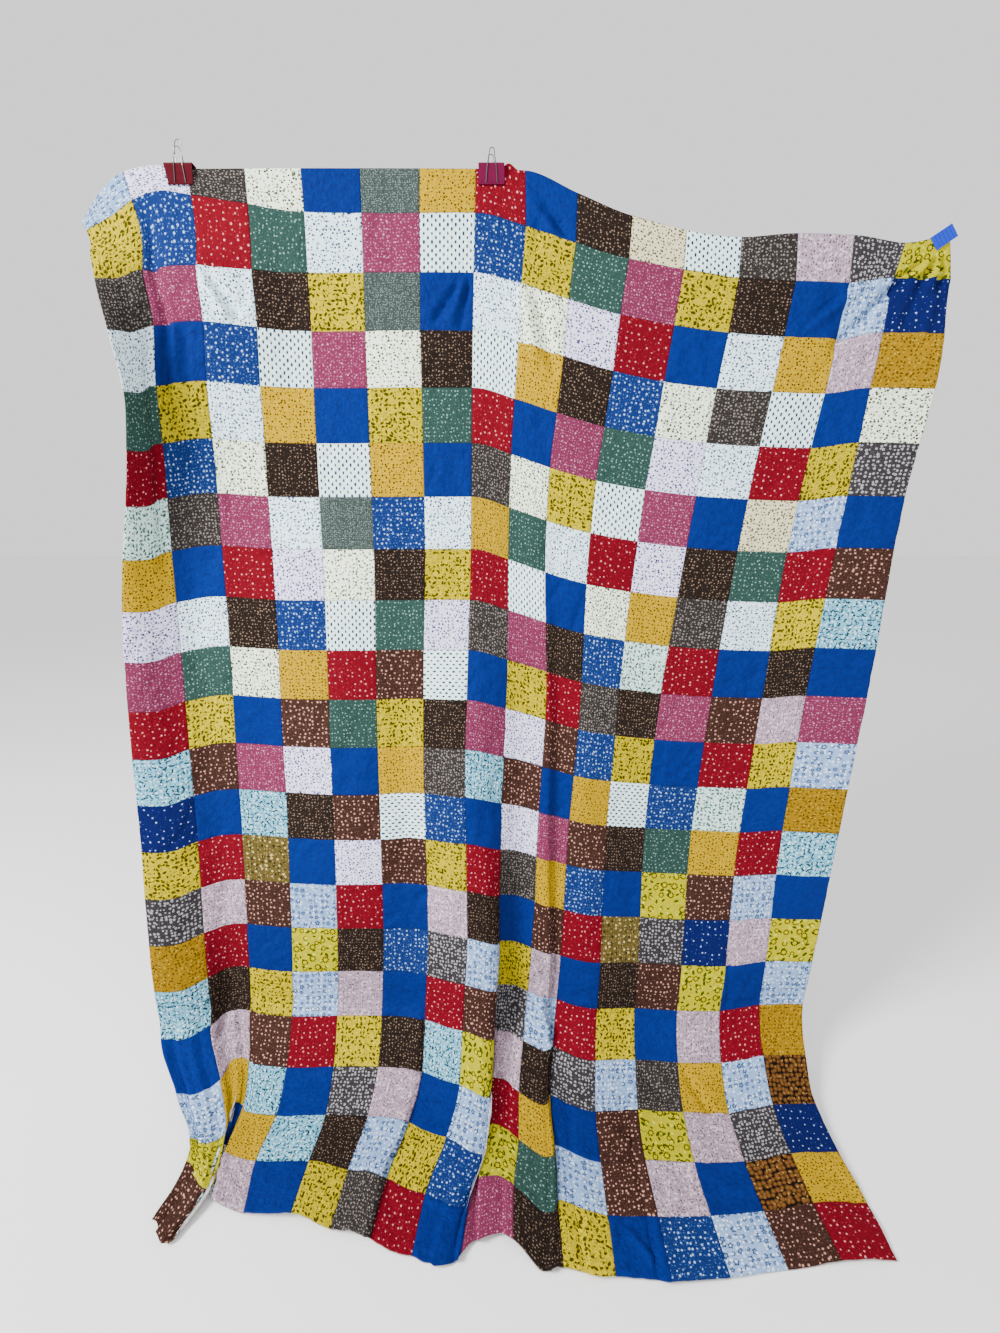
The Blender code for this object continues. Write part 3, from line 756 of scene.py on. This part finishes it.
# The piecing plan: a line for each sewn row from the top, a letter for each patch.
PIECING = (
    "QLTNBEORBDSJTKHV",
    "YCRGWPJCYGPYDBQX",
    "TPWDYEBWNLRBWOKI",
    "WBCJPNDJODCNTJBN",
    "GYWOBYGRBPGLWRYH",
    "RCNDJOBTNYJPBSQB",
    "MTPWECWOGWRLDGRU",
    "OBRLNDYRJBNOTWYA",
    "LWDCJGLTPDCMRBDB",
    "PGNORUJBYRTDPUKP",
    "RYBUGYDPLUCYBRYQ",
    "AUPLBOTAUBOJCMBI",
    "XBADUJCBLPUDGORA",
    "YRFBLUYRTOCBVUQB",
    "HKUQRBKDBURFHXKV",
    "IRBVDCHQYKBDUVBQ",
    "ADYQKBRUHQRYBKRI",
    "BKURYDAVKDHQTOQZ",
    "QOABHKBQROBUVKHX",
    "VBOADQYCVGQUKBZO",
    "UJKBYTRBPDYBCQUR",
)


class PrintedCloth(Recipe):
    """A cotton's material, printed from its data. Places on the cloth are in millimetres.

    The threads really lie 0.35 mm apart. They are drawn about 1.6 mm apart, so that they show.
    """

    square_mm: float = 108.0
    thread_mm: float = 1.6
    spread_mm: Row = (937.0, 611.0, 0.0)    # how far apart the patches were cut
    bleed_mm: float = 0.5           # how far dye bleeds at the edge of a motif
    mottle_scale: float = 0.09      # blotches in a millimetre: each is 11 mm across
    crumple_scale: float = 0.11     # and each crumple is 9 mm across
    thread_share: float = 0.04      # height of the threads, by that of the crumples
    relief: Row = (0.8, 0.004)      # strength of both, and their depth in metres
    specular: float = 0.06          # washed cotton hardly shines
    roughness_drift: float = 0.08
    fading: Row = (0.93, 1.06)      # how the patches differ after years of washing
    ditch_shade: float = 0.72       # painted shade in the sunk sewing line: how dark it is painted
    ditch_mm: float = 2.2           # and how wide
    wrong_colour: str = "d9d6d0"    # undyed threads show on the wrong side
    wrong_share: float = 0.55

    def __init__(self, cotton: Cotton) -> None:
        """Print a cotton.

        Args:
            cotton: The cloth's data.
        """
        super().__init__("quilting cotton, " + cotton.name)
        patch = self.add("UVMap", {}, uv_map="patches")
        number = self.add("VectorMath", {0: patch}, operation="FLOOR")
        chance = self.add("TexWhiteNoise", {"Vector": number}, noise_dimensions="3D")
        # Every patch was cut from another part of its cloth, and some were turned.
        quarter = self.add("Math", {0: chance, 1: 4.0}, operation="MULTIPLY")
        quarter = self.add("Math", {0: quarter}, operation="FLOOR")
        turn = self.add("Math", {0: quarter, 1: 0.5 * math.pi}, operation="MULTIPLY")
        place = self.add("VectorMath", {0: patch, "Scale": self.square_mm}, operation="SCALE")
        turned = self.add("VectorRotate", {"Vector": place, "Angle": turn}, rotation_type="Z_AXIS")
        self.cut = self.add("VectorMath", {0: chance.outputs["Color"], 1: self.spread_mm,
                                           2: turned}, operation="MULTIPLY_ADD")
        colour = self._ground(cotton)
        for scatter in cotton.scatters:
            colour = self._strew(scatter, colour)
        self.feed(self.shader, {"Base Color": self._wear_and_seam_shade(colour, chance)})
        self._surface(place, cotton.roughness)

    def _ground(self, cotton: Cotton) -> Node:
        """Dye the ground, slightly uneven as washed cotton is.

        Args:
            cotton: The cloth's data.

        Returns:
            The ground's colour.
        """
        cloud = self.add("TexNoise", {"Vector": self.cut, "Scale": self.mottle_scale,
                                      "Detail": 3.0, "Roughness": 0.6}, noise_dimensions="2D")
        depth = self.add("MapRange", {"Value": cloud, "From Min": 0.25, "From Max": 0.75,
                                      "To Min": 1.0 - cotton.mottle,
                                      "To Max": 1.0 + cotton.mottle})
        return self.add("VectorMath", {0: linear(cotton.ground)[:3], "Scale": depth},
                        operation="SCALE")

    def _free_places(self, scatter: Scatter) -> tuple[Node, Socket]:
        """Strew places freely over the cloth.

        Args:
            scatter: The motif's data.

        Returns:
            The way from the nearest motif's middle, and that motif's luck.
        """
        cells = self.add("VectorMath", {0: self.cut, "Scale": 1.0 / scatter.spacing},
                         operation="SCALE")
        spots = self.add("TexVoronoi", {"Vector": cells, "Scale": 1.0,
                                        "Randomness": scatter.loose},
                         voronoi_dimensions="2D", feature="F1")
        away = self.add("VectorMath", {0: cells, 1: spots.outputs["Position"]},
                        operation="SUBTRACT")
        off = self.add("VectorMath", {0: away, "Scale": scatter.spacing}, operation="SCALE")
        return off, spots.outputs["Color"]

    def _staggered_places(self, scatter: Scatter) -> tuple[Node, Socket]:
        """Set places in even rows half a spacing apart, each row off by half a step.

        Args:
            scatter: The motif's data.

        Returns:
            The way from the nearest motif's middle, and that motif's luck.
        """
        step = (scatter.spacing, 0.5 * scatter.spacing, 1.0)
        scaled = self.add("VectorMath", {0: self.cut, 1: step}, operation="DIVIDE")
        parts = self.add("SeparateXYZ", {0: scaled})
        row = parts.outputs[1]
        line = self.add("Math", {0: row}, operation="FLOOR")
        odd = self.add("Math", {0: line, 1: 2.0}, operation="FLOORED_MODULO")
        moved = self.add("Math", {0: odd, 1: 0.5, 2: parts}, operation="MULTIPLY_ADD")
        place = self.add("CombineXYZ", {0: moved, 1: row})
        cell = self.add("VectorMath", {0: place}, operation="FLOOR")
        luck = self.add("TexWhiteNoise", {"Vector": cell}, noise_dimensions="2D")
        inner = self.add("VectorMath", {0: place}, operation="FRACTION")
        centred = self.add("VectorMath", {0: inner, 1: (0.5, 0.5, 0.0)}, operation="SUBTRACT")
        off = self.add("VectorMath", {0: centred, 1: step}, operation="MULTIPLY")
        return off, luck.outputs["Color"]

    def _strew(self, scatter: Scatter, colour: Node | Socket) -> Socket:
        """Print one motif over the cloth.

        Args:
            scatter: The motif's data.
            colour: What is printed so far.

        Returns:
            The colour with the motif on it.
        """
        slender, lobes, notched = scatter.motif.value
        places = self._staggered_places if scatter.staggered else self._free_places
        off, fate = places(scatter)
        luck = self.add("SeparateColor", {0: fate})
        if not scatter.staggered:
            turn = self.add("Math", {0: luck, 1: 2.0 * math.pi}, operation="MULTIPLY")
            off = self.add("VectorRotate", {"Vector": off, "Angle": turn},
                           rotation_type="Z_AXIS")
        shape = self.add("VectorMath", {0: off, 1: (1.0, slender, 0.0)}, operation="MULTIPLY")
        reach = self.add("VectorMath", {0: shape}, operation="LENGTH").outputs["Value"]
        edge = self.add("MapRange", {"Value": luck.outputs[2],
                                     "To Min": scatter.size * (1.0 - scatter.vary),
                                     "To Max": scatter.size * (1.0 + scatter.vary)})
        if lobes:
            parts = self.add("SeparateXYZ", {0: shape})
            bearing = self.add("Math", {0: parts.outputs[1], 1: parts}, operation="ARCTAN2")
            half = self.add("Math", {0: bearing, 1: 0.5 * lobes}, operation="MULTIPLY")
            wave = self.add("Math", {0: half}, operation="COSINE")
            petal = self.add("Math", {0: wave}, operation="ABSOLUTE")
            notch = self.add("Math", {0: petal, 1: notched, 2: 1.0 - notched},
                             operation="MULTIPLY_ADD")
            edge = self.add("Math", {0: edge, 1: notch}, operation="MULTIPLY")
        there = self.add("Math", {0: luck.outputs[1], 1: scatter.share}, operation="LESS_THAN")
        colour = self._ink(colour, scatter.colour, edge, reach, there)
        if scatter.eye:
            inner = self.add("Math", {0: edge, 1: scatter.eye_share}, operation="MULTIPLY")
            colour = self._ink(colour, scatter.eye, inner, reach, there)
        return colour

    def _ink(self, colour: Node | Socket, ink: str, edge: Node, reach: Socket,
             there: Node) -> Socket:
        """Ink the inside of an outline, with a soft edge where the dye bleeds.

        Args:
            colour: What is printed so far.
            ink: The ink's colour.
            edge: How far the outline lies from the middle.
            reach: How far this place lies from the middle.
            there: One where the motif is printed.

        Returns:
            The colour with the ink on it.
        """
        inside = self.add("Math", {0: edge, 1: reach}, operation="SUBTRACT")
        crisp = self.add("Math", {0: inside, 1: 1.0 / self.bleed_mm, 2: 0.5},
                         operation="MULTIPLY_ADD", use_clamp=True)
        mask = self.add("Math", {0: crisp, 1: there}, operation="MULTIPLY")
        return self.add("Mix", {"Factor": mask, 6: colour, 7: linear(ink)},
                        data_type="RGBA").outputs[2]

    def _wear_and_seam_shade(self, colour: Node | Socket, chance: Node) -> Socket:
        """Fade the patches unevenly, paint shade into the sunk sewing lines and pale the wrong side.

        Args:
            colour: The printed colour.
            chance: A random number for each patch.

        Returns:
            The worn colour, with painted shade along the sewing lines.
        """
        # Painted shade: the colour is darkened over the few millimetres beside each sewing line,
        # standing in for the shade in the sunk seam.
        seam = self.add("Attribute", {}, attribute_name="seam_mm")
        ditch = self.add("MapRange", {"Value": seam.outputs["Fac"], "From Min": 0.0,
                                      "From Max": self.ditch_mm, "To Min": self.ditch_shade,
                                      "To Max": 1.0}, interpolation_type="SMOOTHSTEP")
        patch = self.add("MapRange", {"Value": chance, "To Min": self.fading[0],
                                      "To Max": self.fading[1]})
        both = self.add("Math", {0: ditch, 1: patch}, operation="MULTIPLY")
        faded_and_seam_shaded = self.add("VectorMath", {0: colour, "Scale": both}, operation="SCALE")
        wrong = self.add("Attribute", {}, attribute_name="wrong_side")
        pale = self.add("Math", {0: wrong.outputs["Fac"], 1: self.wrong_share},
                        operation="MULTIPLY")
        return self.add("Mix", {"Factor": pale, 6: faded_and_seam_shaded, 7: linear(self.wrong_colour)},
                        data_type="RGBA").outputs[2]

    def _surface(self, place: Node, roughness: float) -> None:
        """Give the cloth its weave, its fine crumple and a matt surface.

        Args:
            place: Place on the patch, turned with it.
            roughness: How matt the cloth is.
        """
        # A wave texture has about pi bands in a unit.
        warp, weft = (self.add("TexWave", {"Vector": place, "Distortion": 1.5, "Detail": 1.0,
                                           "Scale": 1.0 / (math.pi * self.thread_mm)},
                               wave_type="BANDS", bands_direction=way) for way in "XY")
        threads = self.add("Math", {0: warp.outputs["Fac"], 1: weft.outputs["Fac"]},
                           operation="ADD")
        crumple = self.add("TexNoise", {"Vector": place, "Scale": self.crumple_scale,
                                        "Detail": 4.0, "Roughness": 0.62, "Distortion": 0.4},
                           noise_dimensions="2D")
        height = self.add("Math", {0: threads, 1: self.thread_share, 2: crumple},
                          operation="MULTIPLY_ADD")
        strength, depth = self.relief
        bump = self.add("Bump", {"Height": height, "Strength": strength, "Distance": depth})
        rough = self.add("MapRange", {"Value": crumple,
                                      "To Min": roughness - self.roughness_drift,
                                      "To Max": roughness + self.roughness_drift})
        self.feed(self.shader, {"Normal": bump, "Roughness": rough,
                                "Specular IOR Level": self.specular})


class PrintShop:
    """Prints each cotton once."""

    def __init__(self) -> None:
        """Start with no cloth printed."""
        self.made: dict[str, bpy.types.Material] = {}

    def cloth(self, letter: str) -> bpy.types.Material:
        """Fetch a cotton, and print it first where it is new.

        Args:
            letter: The cotton's letter in the piecing plan.

        Returns:
            Its material.
        """
        if letter not in self.made:
            self.made[letter] = PrintedCloth(COTTONS[letter]).material
        return self.made[letter]


# ---------------------------------------------------------------- the quilt

@dataclass
class PieceLayout:
    """Where the mesh lines of one patch lie, closer beside its seams."""

    lines: Row = (0.0, 0.015, 0.045, 0.085, 0.135, 0.19, 0.25, 0.31, 0.37, 0.435, 0.5,
                  0.565, 0.63, 0.69, 0.75, 0.81, 0.865, 0.915, 0.955, 0.985, 1.0)

    def cells(self) -> int:
        """Return the number of cells along one patch."""
        return len(self.lines) - 1

    def place(self, line: int) -> float:
        """Return where a mesh line lies, in patches from the first edge."""
        whole, part = divmod(line, self.cells())
        return whole + self.lines[part]


@dataclass
class QuiltTop:
    """The pieced cloth, one strip for each column of patches."""

    drape: Drape
    shop: PrintShop
    layout: PieceLayout
    half_thickness: float = 0.0015
    ditch: float = 0.0009           # how deep a sewing line sinks
    ditch_width: float = 0.020      # squares
    allowance: float = 0.06         # squares that the seam allowance covers behind
    allowance_rise: float = 0.0006
    top_row_share: float = 0.75     # the top row is trimmed to this much of a square
    pucker: float = 0.0011          # depth of the puckers beside the seams
    pucker_width: float = 0.12      # squares over which they fade
    crumple: float = 0.0022         # depth of the long crumples
    fine_share: float = 0.45        # how deep the fine ones are, by that
    loose_width: float = 0.2        # squares from a seam to where a loose cloth is free
    sharp: float = 0.0034           # depth of the sharp creases strewn over the cloth
    sharp_width: float = 0.13
    taut_rows: float = 0.3          # the top of the cloth is pulled taut this far down
    taut_fade: float = 0.5          # rows over which it slackens
    edge_share: float = 0.15        # the taut cloth keeps this share of it all
    knob: Row = (7.66, 0.20, 0.011, 0.35)   # across, half width, height, rows down
    clearance: float = 0.0005       # the lying cloth's creases all stand up from here
    inset: float = 1e-4             # squares that a patch's print is kept inside its seams
    # Where the first sewing line runs, in rows down: it climbs towards the left corner.
    first_seam: tuple[Row, ...] = ((0.0, 0.30), (0.9, 0.56), (1.5, 0.50), (2.0, 0.58),
                                   (3.0, 0.79), (4.0, 0.97), (5.0, 1.0), (16.0, 1.0))

    def build(self) -> list[bpy.types.Object]:
        """Drape the cloth and make its strips.

        Returns:
            The strips, from the left.
        """
        self._drape_cloth()
        return [self._strip(column) for column in range(self.drape.columns)]

    def _rows_down(self, across: float, sewn: float) -> float:
        """Turn a place in sewn rows into rows down, with the uneven first seam.

        Args:
            across: Squares from the left.
            sewn: Sewn rows from the top.

        Returns:
            Rows down.
        """
        seam = self.first_curve.at(across)
        if sewn < 1.0:
            return sewn * seam
        if sewn < 2.0:
            return seam + (sewn - 1.0) * (2.0 - seam)
        return sewn

    def _drape_cloth(self) -> None:
        """Work out the cloth's middle surface and its normals on every mesh line."""
        cells = self.layout.cells()
        wide, long = self.drape.columns * cells, self.drape.rows * cells
        self.first_curve = Curve(self.first_seam)
        self.spots: list[list[Vector]] = []
        for i in range(wide + 1):
            across = self.layout.place(i)
            line = self.drape.follow_down(across)
            self.spots.append([self.drape.point(line, across, self._rows_down(
                across, self.layout.place(j))) for j in range(long + 1)])
        self.normals: list[list[Vector]] = []
        for i, line in enumerate(self.spots):
            left, right = self.spots[max(0, i - 1)], self.spots[min(wide, i + 1)]
            downwards = [line[min(long, j + 1)] - line[max(0, j - 1)] for j in range(long + 1)]
            self.normals.append([way.cross(right[j] - left[j]).normalized()
                                 for j, way in enumerate(downwards)])
        floor = self.drape.lowest + self.clearance - self.drape.hang_height
        for i, line in enumerate(self.spots):
            across = self.layout.place(i)
            for j in range(long + 1):
                down = self.layout.place(j)
                line[j] = line[j] + self.normals[i][j] * self._relief(across, down)
                line[j].z = max(line[j].z + self._knob(across, down), floor)

    def _relief(self, across: float, down: float) -> float:
        """Add up the creases, puckers and crumple at a place.

        The numbers beside across and down are ripples in a square.

        Args:
            across: Squares from the left.
            down: Sewn rows from the top.

        Returns:
            Their height.
        """
        total = sum(crease.height(across, down) for crease in CREASES)
        beside = off_seam(across, down)
        # Puckers stand across a seam, about 16 mm apart.
        total += self.pucker * ripple(across * 6.5, down * 6.5, 3.0) \
            * math.exp(-beside / self.pucker_width)
        # Long soft crumples hang down the cloth, finer sharp-backed ones lie all over it.
        total += self.crumple * ripple(across * 1.9, down * 0.9, 7.0)
        letter = PIECING[min(int(down), self.drape.rows - 1)][min(int(across), 15)]
        loose = 1.0 + (COTTONS[letter].crumple - 1.0) * ease(beside / self.loose_width)
        fine = 0.4 - 2.0 * abs(ripple(across * 2.6 + down * 0.8, down * 2.0, 11.0))
        fine += 0.5 * ripple(across * 9.0 + down * 3.0, down * 6.0, 17.0)
        total += self.fine_share * self.crumple * loose * fine
        # Here and there a sharp crease runs aslant over a patch or two.
        slant = ripple(across + down * 0.5, down * 0.7, 23.0)
        where = ease(1.6 * ripple(across * 0.6, down * 0.6, 31.0) + 0.3)
        total -= self.sharp * where * bell(slant / self.sharp_width)
        slack = ease((down - self.taut_rows) / self.taut_fade)
        return total * (self.edge_share + (1.0 - self.edge_share) * slack)

    def _knob(self, across: float, down: float) -> float:
        """Return how far a pinch of cloth beside the middle clip stands up."""
        place, half_width, height, rows = self.knob
        return height * bell((across - place) / half_width) * (1.0 - ease(down / rows))

    def _strip(self, column: int) -> bpy.types.Object:
        """Make one column of patches as a closed thin sheet.

        Args:
            column: Its number from the left.

        Returns:
            The strip's object.
        """
        cells = self.layout.cells()
        long = self.drape.rows * cells
        bm = bmesh.new()
        uv = bm.loops.layers.uv.new("patches")
        seam_mm = bm.verts.layers.float.new("seam_mm")
        wrong = bm.verts.layers.float.new("wrong_side")
        bmesh.ops.create_grid(bm, x_segments=cells, y_segments=long, size=0.5)
        copied = bmesh.ops.extrude_face_region(bm, geom=list(bm.faces), use_keep_orig=True)
        behind = {item for item in copied["geom"] if isinstance(item, bmesh.types.BMVert)}
        sewn: dict[bmesh.types.BMVert, tuple[float, float]] = {}
        for vertex in bm.verts:
            i = column * cells + round((vertex.co.x + 0.5) * cells)
            j = round((0.5 - vertex.co.y) * long)
            sewn[vertex] = self.layout.place(i), self.layout.place(j)
            beside = off_seam(*sewn[vertex])
            if vertex in behind:
                pressed = 1.0 - ease(beside / self.allowance - 0.5)
                rise = -self.half_thickness - self.allowance_rise * pressed
                vertex[wrong] = 1.0
            else:
                sunk = self.ditch * math.exp(-(beside / self.ditch_width) ** 2)
                rise = self.half_thickness - sunk
            # The distance to the nearest seam drives the painted shade along the sewing lines.
            vertex[seam_mm] = PrintedCloth.square_mm * beside
            vertex.co = self.spots[i][j] + self.normals[i][j] * rise
        letters = [row[column] for row in PIECING]
        used = sorted(set(letters))
        for face in bm.faces:
            row = int(sum(sewn[vertex][1] for vertex in face.verts) / len(face.verts))
            face.material_index = used.index(letters[min(row, len(letters) - 1)])
            face.smooth = True
            for loop in face.loops:
                across, down = sewn[loop.vert]
                if down < 1.0:
                    down = 1.0 - (1.0 - down) * self.top_row_share
                loop[uv].uv = (
                    min(max(across, column + self.inset), column + 1.0 - self.inset),
                    min(max(down, row + self.inset), row + 1.0 - self.inset))
        bmesh.ops.recalc_face_normals(bm, faces=bm.faces)
        strip = put_mesh(f"quilt_column_{column + 1:02d}", bm)
        for letter in used:
            strip.data.materials.append(self.shop.cloth(letter))
        return strip


# ---------------------------------------------------------------- the clips

@dataclass(frozen=True)
class HardFinish:
    """The finish of a clip's part: a colour and a gloss that drift a little, and fine relief.

    Scales count the marks in a metre.
    """

    name: str
    colour: str
    relief: Row         # scale and detail of its fine marks, strength and depth of their bump
    drift: Row          # scale and detail of the drift
    gloss: Row          # least and greatest roughness
    shade: Row = ()     # darkest and lightest share of the colour, where it drifts
    metallic: float = 0.0
    specular: float = 0.1

    def material(self) -> bpy.types.Material:
        """Mix the finish.

        Returns:
            Its material.
        """
        recipe = Recipe(self.name)
        place = recipe.add("TexCoord", {}).outputs["Object"]
        scale, detail, strength, depth = self.relief
        marks = recipe.add("TexNoise", {"Vector": place, "Scale": scale, "Detail": detail})
        bump = recipe.add("Bump", {"Height": marks, "Strength": strength, "Distance": depth})
        scale, detail = self.drift
        cloud = recipe.add("TexNoise", {"Vector": place, "Scale": scale, "Detail": detail})
        colour = linear(self.colour)
        if self.shade:
            low, high = self.shade
            share = recipe.add("MapRange", {"Value": cloud, "To Min": low, "To Max": high})
            colour = recipe.add("VectorMath", {0: colour[:3], "Scale": share}, operation="SCALE")
        low, high = self.gloss
        rough = recipe.add("MapRange", {"Value": cloud, "To Min": low, "To Max": high})
        recipe.feed(recipe.shader, {"Base Color": colour, "Roughness": rough, "Normal": bump,
                                    "Metallic": self.metallic,
                                    "Specular IOR Level": self.specular})
        return recipe.material


# Baked enamel on spring steel has a faint orange peel, which softens its gloss.
ENAMEL = {"relief": (900.0, 2.0, 0.12, 0.0002), "drift": (120.0, 3.0), "gloss": (0.28, 0.42),
          "shade": (0.85, 1.12)}
CRIMSON = HardFinish("crimson enamel on steel", "460210", **ENAMEL)
MAGENTA = HardFinish("magenta enamel on steel", "5a0830", **ENAMEL)
# Nickel plate on drawn spring wire is bright, with fine draw marks.
NICKEL = HardFinish("nickel-plated spring wire", "6c6c70", (700.0, 3.0, 0.1, 0.0001),
                    (700.0, 3.0), (0.18, 0.38), metallic=1.0, specular=0.5)
# Moulded polypropylene is dyed through and smooth, with a soft gloss.
PLASTIC = HardFinish("moulded blue polypropylene", "1430a8", (1500.0, 2.0, 0.15, 0.0001),
                     (90.0, 2.0), (0.3, 0.46), (0.88, 1.1))


class Clips:
    """The three clips, which keep their solids and get their finishes."""

    finishes: dict[str, HardFinish] = {
        "clip_left_body": CRIMSON, "clip_middle_body": MAGENTA, "clip_corner": PLASTIC,
        "clip_left_handle_front": NICKEL, "clip_left_handle_back": NICKEL,
        "clip_middle_handle_front": NICKEL, "clip_middle_handle_back": NICKEL}

    def dress(self) -> None:
        """Give each clip's solids their materials."""
        made = {finish: finish.material() for finish in (NICKEL, CRIMSON, MAGENTA, PLASTIC)}
        for node, finish in self.finishes.items():
            for slot in bpy.data.objects[node].material_slots:
                slot.material = made[finish]
            LOG.info("%s: %s", node, finish.name)


def main() -> None:
    """Load the frame, build the quilt's strips, dress the clips and set the studio."""
    logging.basicConfig(level=logging.INFO, format="%(message)s")
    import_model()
    solid_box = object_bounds()
    for strip in QuiltTop(Drape(), PrintShop(), PieceLayout()).build():
        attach(strip, "root")
        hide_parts("quilt")
        LOG.info("%s: %d faces", strip.name, len(strip.data.polygons))
    Clips().dress()
    Studio(solid_box[0].z).build()


if __name__ == "__main__":
    main()
